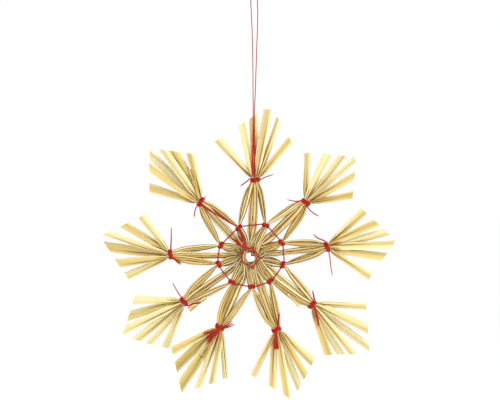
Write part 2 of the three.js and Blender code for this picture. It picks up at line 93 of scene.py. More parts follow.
def polar(degrees, radius):
    """A point of the star's plane: degrees anticlockwise from +X, and distance from the star's middle."""
    turned = math.radians(degrees)
    return np.array([STAR_CENTRE.x + radius * math.cos(turned), 0, STAR_CENTRE.z + radius * math.sin(turned)])


def raised(degrees, radius, height):
    """A point in front of the star's plane, with its distance and height in millimetres."""
    return polar(degrees, radius * MM) + FORWARD * height * MM


def bearing_of(place):
    return math.degrees(math.atan2(place[2] - STAR_CENTRE.z, place[0] - STAR_CENTRE.x))


def unit(vectors):
    return vectors / np.linalg.norm(vectors, axis=-1, keepdims=True)


def along_line(points):
    """How far along a line each of its points lies."""
    steps = np.linalg.norm(np.diff(points, axis=0), axis=1)
    return np.concatenate([[0], np.cumsum(steps)])


def monotone(at, values, wanted):
    """A smooth curve through values at some places, never swinging past them, read at the wanted places."""
    step = np.diff(at)[:, None]
    slope = np.diff(values, axis=0) / step
    same_way = slope[:-1] * slope[1:] > 0
    weight = (2 * step[1:] + step[:-1], step[1:] + 2 * step[:-1])
    safe = [np.where(same_way, part, 1) for part in (slope[:-1], slope[1:])]
    middle = (weight[0] + weight[1]) / (weight[0] / safe[0] + weight[1] / safe[1])
    tangent = np.concatenate([slope[:1], np.where(same_way, middle, 0), slope[-1:]])
    span = np.clip(np.searchsorted(at, wanted, side="right") - 1, 0, len(at) - 2)
    width = step[span]
    share = (wanted[:, None] - at[span][:, None]) / width
    rest = 1 - share
    return (values[span] * rest * rest * (1 + 2 * share) + values[span + 1] * share * share * (3 - 2 * share)
            + tangent[span] * width * share * rest * rest - tangent[span + 1] * width * share * share * rest)


def evenly(points, spacing):
    """The same line with its points the given distance apart."""
    at = along_line(points)
    count = max(3, int(round(at[-1] / spacing)) + 1)
    wanted = np.linspace(0, at[-1], count)
    return np.stack([np.interp(wanted, at, points[:, axis]) for axis in range(3)], axis=1)


def between(place, first, last, start, end):
    """The value at a place between first and last, where it is start and end."""
    return (last - place) / (last - first) * start + (place - first) / (last - first) * end


def flowing(points, spacing):
    """A smooth line through a few points, with points of its own the given distance apart."""
    points = np.array(points, float)
    ends = [2 * points[0] - points[1], 2 * points[-1] - points[-2]]
    points = np.concatenate([ends[:1], points, ends[1:]])
    knots = np.concatenate([[0], np.cumsum(np.linalg.norm(np.diff(points, axis=0), axis=1) ** 0.5)])
    line = []
    for first in range(len(points) - 3):
        p0, p1, p2, p3 = points[first:first + 4]
        t0, t1, t2, t3 = knots[first:first + 4]
        for t in np.linspace(t1, t2, CURVE_STEPS, endpoint=False):
            a1 = between(t, t0, t1, p0, p1)
            a2 = between(t, t1, t2, p1, p2)
            a3 = between(t, t2, t3, p2, p3)
            b1 = between(t, t0, t2, a1, a2)
            b2 = between(t, t1, t3, a2, a3)
            line.append(between(t, t1, t2, b1, b2))
    line.append(points[-2])
    return evenly(np.array(line), spacing)


def wave(dice, reach, count=4):
    """A slow, smooth wander along a length of one, with a reach either way."""
    turns = range(1, count + 1)
    parts = [(dice.uniform(0.5, 1) / turn, turn, dice.uniform(0, math.tau)) for turn in turns]
    whole = sum(size for size, _, _ in parts)
    return lambda share: reach * sum(
        size * np.sin(math.tau * turn * share + start) for size, turn, start in parts) / whole


# --- Meshes laid out as rows and columns ---

WELD = 1e-7
SHARP_EDGE = 60


def lay(places, across, along, values):
    """A grid of points in rows and columns, with a UV map in metres and values for each point."""
    rows, columns = places.shape[:2]
    bpy.ops.mesh.primitive_grid_add(x_subdivisions=columns - 1, y_subdivisions=rows - 1, size=1)
    piece = bpy.context.object
    mesh = piece.data
    mesh.vertices.foreach_set("co", places.astype(np.float32).ravel())
    corners = np.empty(len(mesh.loops), np.int32)
    mesh.loops.foreach_get("vertex_index", corners)
    laid = np.stack([across[corners % columns], along[corners // columns]], axis=1)
    mesh.uv_layers.active.data.foreach_set("uv", laid.astype(np.float32).ravel())
    for label, value in values.items():
        kind = "FLOAT_COLOR" if value.ndim == 3 else "FLOAT"
        attribute = mesh.attributes.new(label, kind, "POINT")
        field = "color" if kind == "FLOAT_COLOR" else "value"
        attribute.data.foreach_set(field, value.astype(np.float32).ravel())
    piece.select_set(False)
    return piece


def finish_piece(pieces, name, material, node):
    """Joins the laid grids into one closed piece, which stands for a CAD node."""
    for part in pieces:
        part.select_set(True)
    bpy.context.view_layer.objects.active = pieces[0]
    if len(pieces) > 1:
        bpy.ops.object.join()
    piece = bpy.context.object
    piece.name = name
    piece.data.name = name
    bpy.ops.object.mode_set(mode="EDIT")
    bpy.ops.mesh.select_mode(type="EDGE")
    bpy.ops.mesh.select_all(action="SELECT")
    bpy.ops.mesh.remove_doubles(threshold=WELD)
    bpy.ops.mesh.select_all(action="DESELECT")
    bpy.ops.mesh.select_non_manifold()
    bpy.ops.mesh.fill_holes(sides=0)
    bpy.ops.mesh.select_all(action="SELECT")
    bpy.ops.mesh.normals_make_consistent(inside=False)
    bpy.ops.object.mode_set(mode="OBJECT")
    bpy.ops.object.shade_smooth_by_angle(angle=math.radians(SHARP_EDGE))
    piece.data.materials.clear()
    piece.data.materials.append(material)
    piece.select_set(False)
    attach(piece, "root")
    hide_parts(node)
    return piece


# --- Materials ---

STRAW_STREAK = (0.66, 0.55, 0.42, 1)
STRAW_PATCH = (0.90, 0.80, 0.44, 1)
# A painted highlight for the straws' rounded edges.
STRAW_EDGE_HIGHLIGHT = (0.96, 0.88, 0.58, 1)
# Painted shade for creases, pleat valleys and the gaps between straws, from brown to rust.
CREASE_SHADE_BROWN = (0.055, 0.024, 0.006, 1)
CREASE_SHADE_RUST = (0.26, 0.08, 0.009, 1)
COTTON_DARK = (0.40, 0.014, 0.008, 1)
COTTON_LIGHT = (0.58, 0.036, 0.014, 1)
COTTON_PATCH = (0.30, 0.008, 0.008, 1)
# Painted shade between the cotton's plies.
COTTON_VALLEY_SHADE = (0.12, 0.003, 0.004, 1)
COTTON_BLOOM = (1.0, 0.45, 0.35, 1)

# How wide and how long the streaks of each material are, and how wide its patches.
STRAW_GRAIN = (0.5 * MM, 30 * MM, 3.5 * MM)
COTTON_GRAIN = (0.09 * MM, 1.1 * MM, 1.6 * MM)
PATCH_STRETCH = 4.0
STREAK_SEED = 0.0
PATCH_SEED = 7.3


def set_inputs(tree, node, inputs):
    """Gives each input of a node its value, or another node's output to read."""
    for label, value in inputs.items():
        if isinstance(value, bpy.types.NodeSocket):
            tree.links.new(value, node.inputs[label])
        else:
            node.inputs[label].default_value = value


def shader_node(tree, kind, settings=None, inputs=None):
    made = tree.nodes.new(kind)
    for label, value in (settings or {}).items():
        setattr(made, label, value)
    set_inputs(tree, made, inputs or {})
    return made


def mixed(tree, share, first, second, method="MIX"):
    made = shader_node(tree, "ShaderNodeMix", {"data_type": "RGBA", "blend_type": method},
                       {0: share, 6: first, 7: second})
    return made.outputs[2]


def worked(tree, operation, *values):
    made = shader_node(tree, "ShaderNodeMath", {"operation": operation}, dict(enumerate(values)))
    return made.outputs[0]


def fibre_grain():
    """Streaks that run the length of a piece and patches that drift over it."""
    group = bpy.data.node_groups.new("fibre_grain", "ShaderNodeTree")
    sockets = group.interface
    sockets.new_socket("Vector", in_out="INPUT", socket_type="NodeSocketVector")
    for label in ("Fibre Width", "Fibre Length", "Patch Size"):
        sockets.new_socket(label, in_out="INPUT", socket_type="NodeSocketFloat")
    for label in ("Streaks", "Patches"):
        sockets.new_socket(label, in_out="OUTPUT", socket_type="NodeSocketFloat")
    given = group.nodes.new("NodeGroupInput")
    result = group.nodes.new("NodeGroupOutput")
    parted = shader_node(group, "ShaderNodeSeparateXYZ", inputs={0: given.outputs["Vector"]})

    def noise(wide, long, seed, detail, roughness):
        place = shader_node(group, "ShaderNodeCombineXYZ", inputs={
            0: worked(group, "DIVIDE", parted.outputs[0], wide),
            1: worked(group, "DIVIDE", parted.outputs[1], long), 2: seed})
        made = shader_node(group, "ShaderNodeTexNoise", {"noise_dimensions": "3D"}, {
            "Vector": place.outputs[0], "Scale": 1.0, "Detail": detail, "Roughness": roughness})
        return made.outputs["Fac"]

    patch = given.outputs["Patch Size"]
    patch_length = worked(group, "MULTIPLY", patch, PATCH_STRETCH)
    set_inputs(group, result, {
        "Streaks": noise(given.outputs["Fibre Width"], given.outputs["Fibre Length"], STREAK_SEED, 4.0, 0.62),
        "Patches": noise(patch, patch_length, PATCH_SEED, 2.0, 0.5)})
    return group


FIBRE_GRAIN = fibre_grain()


def new_material(name):
    material = bpy.data.materials.new(name)
    material.use_nodes = True
    tree = material.node_tree
    shader = tree.nodes["Principled BSDF"]
    return material, tree, shader


def grain_of(tree, width, length, patch):
    uv = shader_node(tree, "ShaderNodeUVMap", {"uv_map": "UVMap"})
    grain = shader_node(tree, "ShaderNodeGroup", {"node_tree": FIBRE_GRAIN}, {
        "Vector": uv.outputs[0], "Fibre Width": width, "Fibre Length": length, "Patch Size": patch})
    return grain.outputs["Streaks"], grain.outputs["Patches"]


def attribute(tree, name, output="Fac"):
    return shader_node(tree, "ShaderNodeAttribute", {"attribute_name": name}).outputs[output]


def ramp(tree, value, low, high):
    """Carries a value from one pair of what comes in and what goes out to another."""
    made = shader_node(tree, "ShaderNodeMapRange", {"clamp": True}, {
        "Value": value, "From Min": low[0], "From Max": high[0], "To Min": low[1], "To Max": high[1]})
    return made.outputs[0]


def relief(tree, height, strength, depth):
    made = shader_node(tree, "ShaderNodeBump", inputs={
        "Strength": strength, "Distance": depth, "Height": height})
    return made.outputs[0]


def wheat_straw():
    """The straw's waxy outside: streaked along it, with painted shade in its creases, from brown to rust, and
    a painted highlight at its edges.
    """
    material, tree, shader = new_material("wheat_straw")
    streaks, patches = grain_of(tree, *STRAW_GRAIN)
    edge = attribute(tree, "edge")
    colour = attribute(tree, "tint", "Color")
    colour = mixed(tree, ramp(tree, streaks, (0.42, 0.0), (0.68, 0.45)), colour, STRAW_STREAK, "MULTIPLY")
    colour = mixed(tree, ramp(tree, patches, (0.5, 0.0), (0.75, 0.22)), colour, STRAW_PATCH)
    # Painted highlight: the edge value pales the colour towards the straws' rounded edges.
    colour = mixed(tree, ramp(tree, edge, (0.1, 0.0), (1.0, 0.5)), colour, STRAW_EDGE_HIGHLIGHT)
    # Painted shade: the crease value darkens the colour in creases, pleat valleys, fold lines, rims and the
    # hub.
    shade_hue = mixed(tree, attribute(tree, "rust"), CREASE_SHADE_BROWN, CREASE_SHADE_RUST)
    painted_shade = shader_node(tree, "ShaderNodeGamma", inputs={"Color": shade_hue, "Gamma": attribute(tree, "crease_shade")})
    set_inputs(tree, shader, {
        "Base Color": mixed(tree, 1.0, colour, painted_shade.outputs[0], "MULTIPLY"),
        "Roughness": ramp(tree, streaks, (0.3, 0.36), (0.7, 0.5)),
        "Specular IOR Level": 0.35,
        "Coat Weight": 0.1,
        "Coat Roughness": 0.25,
        "Normal": relief(tree, streaks, 0.3, 0.06 * MM)})
    return material


def red_cotton():
    """Twisted cotton: painted shade between its plies, with a soft bloom of fluff."""
    material, tree, shader = new_material("red_cotton")
    streaks, patches = grain_of(tree, *COTTON_GRAIN)
    colour = mixed(tree, ramp(tree, streaks, (0.35, 0.0), (0.7, 1.0)), COTTON_DARK, COTTON_LIGHT)
    colour = mixed(tree, ramp(tree, patches, (0.45, 0.0), (0.75, 0.4)), colour, COTTON_PATCH)
    set_inputs(tree, shader, {
        "Base Color": mixed(tree, attribute(tree, "valley_shade"), colour, COTTON_VALLEY_SHADE),
        "Roughness": 0.82,
        "Specular IOR Level": 0.15,
        "Sheen Weight": 0.1,
        "Sheen Roughness": 0.45,
        "Sheen Tint": COTTON_BLOOM,
        "Normal": relief(tree, streaks, 0.6, 0.03 * MM)})
    return material


STRAW = wheat_straw()
COTTON = red_cotton()

# --- Thread ---

THREAD_RADIUS = 0.39 * MM
HANGING_RADIUS = 0.27 * MM
DOUBLED_RADIUS = 0.29 * MM
THREAD_SIDES = 18
THREAD_STEP = 0.2 * MM
PLIES = 3
PLY_DEPTH = 0.25
TWIST_LENGTH = 2.1 * MM
# How sharp and how dark the painted shade between the plies is.
VALLEY_SHARPNESS = 1.5
VALLEY_DARKNESS = 0.8
FRAY_FIBRES = 5
FRAY_LENGTH = 1.0 * MM
FIBRE_STEP = 0.25 * MM
FIBRE_SHAPE = {"radius": 0.11 * MM, "plies": 2, "sides": 6}


def carried_frames(line):
    """A sideways and an upwards direction at each point of a line, carried along it without twisting."""
    ahead = unit(np.gradient(line, axis=0))
    start = FORWARD
    if abs(ahead[0] @ start) > 0.9:
        start = np.array([1.0, 0.0, 0.0])
    sides = [unit(start - ahead[0] * (ahead[0] @ start))]
    for direction in ahead[1:]:
        side = sides[-1] - direction * (direction @ sides[-1])
        sides.append(unit(side))
    sides = np.array(sides)
    return sides, np.cross(ahead, sides)


def twine(line, radius=THREAD_RADIUS, taper=None, plies=PLIES, sides=THREAD_SIDES):
    """A twisted thread along a line: where its points lie, and a painted shade by how deep between the plies
    they are.
    """
    side, up = carried_frames(line)
    at = along_line(line)
    round_it = np.linspace(0, math.tau, sides + 1)
    turned = at[:, None] / TWIST_LENGTH * math.tau
    depth = 1 - np.abs(np.cos(plies / 2 * (round_it[None, :] + turned)))
    reach = radius * (1 - PLY_DEPTH * depth)
    if taper is not None:
        reach = reach * taper[:, None]
    reach[:, -1] = reach[:, 0]
    depth[:, -1] = depth[:, 0]
    swing = (np.cos(round_it)[None, :, None] * side[:, None, :]
             + np.sin(round_it)[None, :, None] * up[:, None, :])
    swing[:, -1] = swing[:, 0]
    return line[:, None, :] + swing * reach[:, :, None], depth ** VALLEY_SHARPNESS * VALLEY_DARKNESS, at


def thread_grid(line, **shape):
    places, valley_shade, at = twine(line, **shape)
    across = np.linspace(0, math.tau * THREAD_RADIUS, places.shape[1])
    return lay(places, across, at, {"valley_shade": valley_shade})


def strand(points, **shape):
    """A thread laid smoothly through a few points."""
    return thread_grid(flowing(points, THREAD_STEP), **shape)


def frayed_end(line, dice):
    """The loose fibres at a thread's cut end, fanning out from its last point."""
    ahead = unit(line[-1] - line[-4])
    fibres = []
    for _ in range(FRAY_FIBRES):
        away = np.array([dice.uniform(-1, 1), dice.uniform(-0.6, 0.6), dice.uniform(-1, 1)])
        away -= ahead * (away @ ahead)
        reach = FRAY_LENGTH * dice.uniform(0.6, 1.2)
        start = line[-1] - ahead * 0.3 * MM + away * 0.1 * MM
        middle = line[-1] + ahead * reach * 0.5 + away * 0.22 * reach
        tip = line[-1] + ahead * reach + away * dice.uniform(0.3, 0.7) * reach
        run = flowing([start, middle, tip], FIBRE_STEP)
        fibres.append(thread_grid(run, taper=np.linspace(1.0, 0.25, len(run)), **FIBRE_SHAPE))
    return fibres


# --- The hanging loop ---

# Up the left strand, round the bend at the top and down the right strand, in millimetres.
HANGING_ROUTE = [
    [-0.74, -1.75, -103], [-0.74, -1.75, -98.5], [-0.68, -1.75, -92.5], [-0.5, -1.75, -84],
    [-0.44, -1.75, -75], [-0.42, -1.7, -68], [-0.44, -1.55, -62], [-0.5, -1.35, -55],
    [-0.56, -1.1, -45], [-0.7, -0.85, -35], [-0.94, -0.6, -25], [-1.35, -0.35, -14.5],
    [-1.74, -0.15, -6.5], [-1.75, -0.05, -3.2], [-1.42, 0, -1.2], [-0.8, 0, -0.4],
    [0, 0, -0.27], [0.8, 0, -0.4], [1.45, 0, -1.2], [1.82, -0.05, -3.6],
    [2, -0.15, -9], [2.04, -0.25, -17], [1.8, -0.4, -25], [1.52, -0.55, -32],
    [1.32, -0.7, -39], [1.06, -0.9, -46], [0.86, -1.1, -53], [0.58, -1.35, -59.5],
    [0.28, -1.6, -65.5], [0.18, -1.72, -71], [0.16, -1.75, -80], [0.2, -1.75, -88],
    [0.36, -1.75, -94], [0.62, -1.75, -99], [0.66, -1.75, -103],
]

# The thread is drawn thin where it carries the star, and swells where it lies slack over the top arm.
SLACK_SWELL = 1.5
SLACK_HEIGHTS = (-86 * MM, -70 * MM)

hanging_line = flowing(np.array(HANGING_ROUTE) * MM, THREAD_STEP)
slack = 1 - ease((hanging_line[:, 2] - SLACK_HEIGHTS[0]) / (SLACK_HEIGHTS[1] - SLACK_HEIGHTS[0]))
hanging = finish_piece(
    [thread_grid(hanging_line, radius=HANGING_RADIUS, taper=blend(1, SLACK_SWELL, slack))],
    "cotton_hanging_loop", COTTON, "hanging_thread")

# --- Straws ---

STRAW_COLUMNS = 40
STRAW_ROW = 0.62 * MM
STRAW_ROUND = 9.6 * MM
SECTION_WELD = 0.001 * MM
TIE_SECTION = 3
KNOT_SECTION = 8

# How wide a straw is where it isn't squeezed, and where one end's look gives way to the other's.
OPEN_WIDTH = 4.8 * MM
SPINDLE_WIDTH = 2.2 * MM
CHANGE_START = 0.42
CHANGE_LENGTH = 0.16
FULLNESS = (0.45, 0.8)

# The cut ends: their walls, how far they open, how they are cupped and how far they lean.
WALL = 0.1 * MM
MOUTH_ROWS = [0, 1, 3, 6]
MOUTH_OPENING = 0.3 * MM
MOUTH_LENGTH = 7 * MM
CUPS = (0.45 * MM, 0.75 * MM)
SPINDLE_CUP = 0.22 * MM
BLADE_ROLL = 0.12
BLADE_START = 12

# How much wider the straws lie, and how far from the middle or a tie.
HUB_REACH = (11.0 * MM, 17.0 * MM)
HUB_GAIN = 0.36 * MM
HUB_GAIN_REACH = (4 * MM, 5.4 * MM, 14 * MM, 17.5 * MM)
TIE_GAIN = 0.3 * MM
TIE_GAIN_REACH = (0.8 * MM, 2.5 * MM, 5 * MM, 14 * MM)
LOOSE_GAIN_REACH = (9 * MM, 15 * MM, 22 * MM, 38 * MM)
TIP_GAIN = 0.6 * MM
STRAIGHT_REACH = (2.5 * MM, 5 * MM, 14.5 * MM, 17 * MM)
STRAIGHT_ROUNDS = 50

# How far the straws' inner edges stay from the middle, in millimetres, by direction from it.
HOLE_EDGE = [
    (0, 2.4), (30, 1.9), (65, 1.7), (100, 2.6), (135, 3.7),
    (165, 2.5), (205, 2.6), (240, 3.4), (280, 3.3), (320, 3.5),
]
HOLE_CUTS = (-0.6 * MM, 1.6 * MM)
HOLE_CUT_REACH = (4.8 * MM, 3.2 * MM)

# The pleats of a squeezed straw, the painted shade in them and the fold along a blade.
HUB_ROLL = 0.16
PRESSED_FROM = 0.2
PRESSED_OVER = 0.3
PLEAT_TURNS = (1.3, 1.9)
PLEAT_DEPTH = 0.4
FINE_TURNS = 3.3
FINE_DEPTH = 0.14
FINE_SHADE = 0.3
HUB_SHADE = 1.6
RIM_START = 0.74
RIM_SHADE = 0.75
FOLD_WIDTH = 0.1
FOLD_DEPTH = 0.12 * MM
FADE_START = 0.35
RIDGE_TURNS = (2, 3, 5)
RIDGE_HEIGHT = 0.02 * MM
TINT_STEP = 0.5
# Painted shade over a blade's body about its fold, and how far from the fold it fades.
BODY_SHADE = (0.84, 0.78, 0.68)
BODY_SHADE_REACH = 0.9
# How much paler the tint is where the straw is squeezed and in the hub.
SQUEEZED_TONE = (1.12, 1.14, 1.15)
HUB_TONE = (1.06, 1.09, 1.14)

# How much wider each arm's two middle straws lie where the ring crosses them, in millimetres.
LOOSE_GAINS = [0.9, 0.7, 0, 0.2, 1.0, 0.9, 0.9, 0, 0.7]

# Straw colours, from the deepest to the palest.
TINTS = {
    "olive": (0.5, 0.39, 0.12),
    "ochre": (0.64, 0.475, 0.135),
    "gold": (0.75, 0.6, 0.22),
    "tan": (0.72, 0.57, 0.26),
    "silver": (0.79, 0.725, 0.44),
    "cream": (0.86, 0.77, 0.4),
}

# Each arm's six blades, anticlockwise: the tints of the clockwise and the anticlockwise edge, where the fold
# runs between them (-1 to 1), how dark its painted shade is, how far it reaches towards the cut end, and how
# rusty it is.
# The edge tints are partly the straw's own colour and partly a painted highlight: a paler edge stands for the
# side lit from the upper right.
BLADES = {
    "top": [
        ("gold", "gold", 0.1, 0.2, 0.6, 0.5), ("cream", "tan", 0.35, 0.8, 0.9, 0.5),
        ("cream", "tan", -0.3, 0.5, 1, 0.8), ("cream", "gold", -0.2, 0.6, 1, 0.4),
        ("gold", "cream", -0.6, 0.6, 0.6, 0.9), ("cream", "gold", 0.45, 0.9, 0.75, 0.1)],
    "upper_left": [
        ("cream", "ochre", 0.05, 0.7, 0.7, 0.2), ("gold", "gold", 0.6, 0.95, 1, 0.7),
        ("cream", "silver", 0.3, 0.5, 0.5, 0.4), ("cream", "silver", -0.3, 0.3, 0.5, 0.3),
        ("gold", "gold", -0.75, 0.9, 0.8, 0.8), ("tan", "gold", 0, 0.3, 0.5, 0.3)],
    "left": [
        ("cream", "gold", 0.4, 0.3, 0.5, 0.5), ("cream", "gold", -0.5, 0.9, 0.6, 0.8),
        ("cream", "silver", 0.6, 0.8, 1, 0.1), ("gold", "ochre", 0.3, 0.7, 0.9, 0.1),
        ("gold", "ochre", 0.5, 0.5, 0.9, 0.2), ("cream", "gold", 0.3, 0.4, 0.8, 0.1)],
    "lower_left": [
        ("cream", "cream", 0.8, 0.7, 0.6, 0.2), ("cream", "gold", -0.3, 0.7, 0.8, 0.8),
        ("cream", "silver", 0.3, 0.8, 0.9, 0), ("cream", "gold", 0.3, 0.7, 1, 0.6),
        ("cream", "silver", 0.2, 0.6, 0.8, 0.1), ("cream", "silver", 0.1, 0.4, 0.7, 0.5)],
    "bottom_left": [
        ("gold", "gold", 0.2, 0.7, 0.7, 0.1), ("ochre", "olive", 0.2, 0.8, 0.6, 0.3),
        ("gold", "olive", 0.1, 0.7, 0.7, 0.4), ("cream", "silver", 0.4, 0.8, 0.9, 0),
        ("tan", "cream", -0.1, 0.6, 0.7, 0.3), ("silver", "cream", -0.6, 0.3, 0.4, 0.4)],
    "bottom_right": [
        ("cream", "tan", 0.3, 0.6, 0.6, 0.1), ("gold", "cream", -0.1, 0.7, 1, 0.5),
        ("gold", "cream", 0.2, 0.4, 0.7, 0.3), ("silver", "cream", -0.4, 0.7, 0.7, 0.1),
        ("ochre", "gold", -0.5, 0.9, 0.7, 0.7), ("ochre", "cream", -0.3, 0.8, 0.6, 0.4)],
    "lower_right": [
        ("gold", "ochre", 0.3, 0.6, 0.6, 0.1), ("silver", "cream", -0.8, 0.9, 0.7, 0.3),
        ("gold", "cream", -0.3, 0.8, 0.9, 0.7), ("silver", "cream", -0.2, 0.6, 0.6, 0.1),
        ("gold", "cream", -0.5, 0.9, 0.5, 0.5), ("gold", "cream", -0.1, 0.4, 0.6, 0.3)],
    "right": [
        ("gold", "cream", -0.1, 0.6, 0.8, 0.3), ("gold", "gold", 0.7, 0.9, 0.6, 0.7),
        ("cream", "gold", 0.4, 0.6, 0.7, 0.3), ("gold", "cream", -0.6, 0.8, 0.7, 0.4),
        ("gold", "gold", 0.2, 0.6, 0.8, 0.6), ("ochre", "cream", -0.1, 0.8, 0.8, 0)],
    "upper_right": [
        ("ochre", "gold", 0.5, 0.8, 0.6, 0.4), ("gold", "cream", 0.4, 0.7, 0.8, 0.7),
        ("silver", "cream", -0.1, 0.5, 0.6, 0.1), ("tan", "cream", -0.2, 0.5, 0.6, 0.3),
        ("gold", "cream", -0.7, 0.9, 0.6, 0.5), ("cream", "tan", 0, 0.3, 0.8, 0.6)],
}


def solid_sections(node):
    """The sections of a straw's solid from one cut end to the other, each as four corners."""
    solid = bmesh.new()
    solid.from_mesh(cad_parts[node].data)
    bmesh.ops.remove_doubles(solid, verts=solid.verts, dist=SECTION_WELD)
    tip = max(solid.verts, key=lambda corner: (corner.co - STAR_CENTRE).length)
    ring = sorted(solid.verts, key=lambda corner: (corner.co - tip.co).length)[:4]
    seen = set(ring)
    sections = []
    while ring:
        sections.append(np.array([corner.co for corner in ring]))
        ahead = {edge.other_vert(corner) for corner in ring for edge in corner.link_edges} - seen
        seen |= ahead
        ring = list(ahead)
    solid.free()
    return sections


def straw_edges(node, near_bearing):
    """A straw's left edge, right edge and thickness at each section, from the end in this direction."""
    sections = solid_sections(node)
    centres = np.array([section.mean(axis=0) for section in sections])

    def away(place):
        return abs((bearing_of(place) - near_bearing + 180) % 360 - 180)

    if away(centres[0]) > away(centres[-1]):
        sections.reverse()
        centres = centres[::-1]
    forward = np.gradient(centres, axis=0)
    lefts, rights, thicknesses = [], [], []
    for section, centre, direction in zip(sections, centres, forward):
        left = np.array([-direction[2], 0, direction[0]])
        side = (section - centre) @ left
        lefts.append(section[side > 0].mean(axis=0))
        rights.append(section[side <= 0].mean(axis=0))
        behind = section[:, 1] > centre[1]
        thicknesses.append(section[behind][:, 1].mean() - section[~behind][:, 1].mean())
    return np.array(lefts), np.array(rights), np.array(thicknesses)


def hole_cut(lines, middle, sideways, from_middle):
    """How far each row's inner edge is cut back round the hub's hole, and on which side that edge is."""
    star_middle = np.array(STAR_CENTRE)
    hole_side = np.sign(np.sum((star_middle - middle) * sideways, axis=1))
    nearest = np.argmin(from_middle)
    inner_edge = lines[0 if hole_side[nearest] > 0 else 1][nearest]
    off_middle = middle[nearest] - star_middle
    held_off = (inner_edge - star_middle) @ unit(off_middle * np.array([1, 0, 1]))
    hole_edge = np.interp(bearing_of(middle[nearest]), *np.array(HOLE_EDGE).T, period=360) * MM
    near_hole = ease((HOLE_CUT_REACH[0] - from_middle) / (HOLE_CUT_REACH[0] - HOLE_CUT_REACH[1]))
    return np.clip(hole_edge - held_off, *HOLE_CUTS) * near_hole, hole_side


def settled(lines, sideways, from_middle, from_tie, loose):
    """The straw's middle line and width. The straws press against each other in the hub, the loose ones
    spread as they cross the ring, and the hub's innermost edges are ragged round its hole."""
    cut, hole_side = hole_cut(lines, (lines[0] + lines[1]) / 2, sideways, from_middle)
    gained = HUB_GAIN * swell(from_middle, *HUB_GAIN_REACH) + TIE_GAIN * swell(from_tie, *TIE_GAIN_REACH)
    left_line = lines[0] + sideways * (gained + loose - cut * (hole_side > 0))[:, None]
    right_line = lines[1] - sideways * (gained - cut * (hole_side < 0))[:, None]
    centre = (left_line + right_line) / 2
    straightened = swell(from_middle, *STRAIGHT_REACH)[1:-1, None] / 2
    for _ in range(STRAIGHT_ROUNDS):
        centre[1:-1] += straightened * ((centre[:-2] + centre[2:]) / 2 - centre[1:-1])
    return centre, np.linalg.norm(left_line - right_line, axis=1)


def pleats_of(across, share, pressed, in_hub, dice):
    """How high the pleats stand, in half thicknesses, and how much painted shade lies in their valleys and
    along the straw's rims.
    They wander slowly along the straw, and are deep where it is squeezed."""
    def rippled(turns, wander):
        return np.cos(math.pi * (turns * across + wave(dice, wander)(share)[:, None] + dice.uniform(0, 2)))

    pleats = rippled(dice.uniform(*PLEAT_TURNS), 0.35)
    fine = rippled(FINE_TURNS, 0.6)
    # Painted shade in the pleats' valleys and along the rims where the straws meet, stronger in the hub.
    valley_shade = np.clip(-pleats, 0, 1) ** 3
    valley_shade = valley_shade + FINE_SHADE * dice.uniform(0.2, 1.3) * np.clip(-fine, 0, 1) ** 2.5
    shade_strength = np.clip(0.8 + wave(dice, 0.35, 6)(share), 0, 1.2) * dice.uniform(0.8, 1.2)
    shade_strength = blend(shade_strength, HUB_SHADE, in_hub)
    rim = ease((np.abs(across) - RIM_START) / (1 - RIM_START))
    crease_shade = np.maximum(valley_shade, rim * RIM_SHADE) * (shade_strength * pressed)[:, None]
    return (PLEAT_DEPTH * pleats + FINE_DEPTH * fine) * pressed[:, None], crease_shade


def tint_of(looks, across, far_side, pressed, in_hub):
    """The tint runs from one edge to the other, with painted shade about the fold, and paler where it is
    squeezed.
    """
    tints = []
    for look, turnwise in zip(looks, (-across, across)):
        away = turnwise - look["fold_place"]
        tint = blend(*np.array(look["tints"]), ease(away / (2 * TINT_STEP) + 0.5)[:, None])
        # Painted shade: the tint is darkened about the fold and returns to full towards the edges.
        tints.append(tint * blend(np.array(BODY_SHADE), np.ones(3), ease(np.abs(away) / BODY_SHADE_REACH)[:, None]))
    tint = blend(tints[0][None, :, :], tints[1][None, :, :], far_side[:, None, None])
    # Paler where the straw is squeezed and in the hub.
    squeeze_paling = blend(np.ones(3), np.array(SQUEEZED_TONE), pressed[:, None])
    squeeze_paling = squeeze_paling * blend(np.ones(3), np.array(HUB_TONE), in_hub[:, None])
    tint = tint * squeeze_paling[:, None, :]
    return np.concatenate([tint, np.ones(tint.shape[:2] + (1,))], axis=2)


def folds_of(looks, across, blade_share, far_side):
    """The fold of each end: how rusty it is, how dark its painted shade is and how deep it is at every point.
    """
    for look, part, half in zip(looks, blade_share, (1 - far_side, far_side)):
        fading = 1 - ease((part - FADE_START * look["reach"]) / ((1 - FADE_START) * look["reach"]))
        at_fold = np.exp(-((across - look["fold"]) / FOLD_WIDTH) ** 2)
        fold_shade = at_fold * (look["depth"] * half * fading * ease(part * 8 + 0.4))[:, None]
        deep = at_fold * (FOLD_DEPTH * look["depth"] * half * ease(part * 3) * (1 - 0.5 * part))[:, None]
        yield look["rust"], fold_shade, deep


